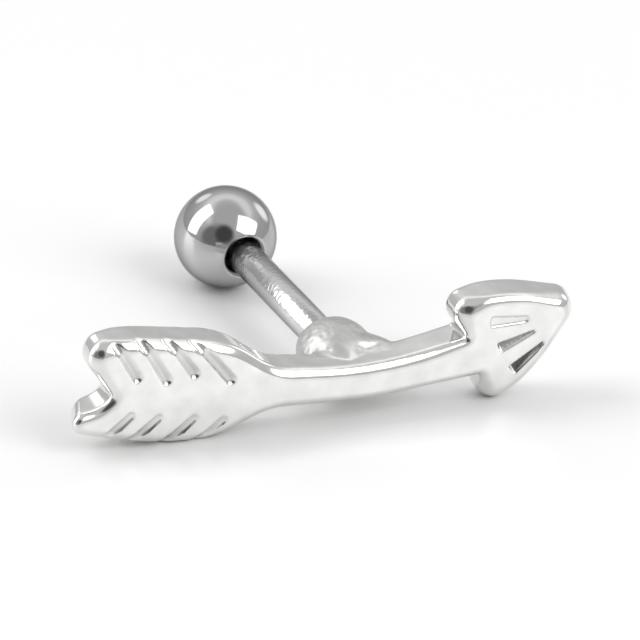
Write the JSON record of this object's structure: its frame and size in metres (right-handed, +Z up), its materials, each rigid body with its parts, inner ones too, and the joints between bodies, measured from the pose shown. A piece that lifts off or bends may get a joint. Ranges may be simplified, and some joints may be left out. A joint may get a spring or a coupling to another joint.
{
  "type": "barbell jewel",
  "caption": "Straight barbell jewel for a helix piercing: a curved, feathered arrow lies across one end of the post and a ball screws onto the other end.",
  "frame": {"origin": "middle of the overall box on the ground, under the jewel as it lies by itself", "axes": "+X along the arrow from tail to tip, +Y from the arrow's front face towards the ball, +Z up. The post leans up towards the ball by 1.34 degrees, since the jewel rests on the ball and on the arrow's lower edge."},
  "size_m": [0.016, 0.0112, 0.0036],
  "materials": {
    "plated_arrow": "bright silver plating over a cast arrow, polished with soft edges",
    "steel_post": "drawn and polished surgical steel",
    "steel_ball": "mirror polished surgical steel"
  },
  "bodies": {
    "arrow_and_post": {"arrow_top": "plated_arrow", "post": "steel_post"},
    "ball": {"ball": "steel_ball"}
  },
  "joints": [
    {"name": "ball_unscrew", "type": "slide", "parent": "arrow_and_post", "child": "ball", "axis": [0, 0.9997, 0.0233], "range_m": [0, 0.008]}
  ]
}
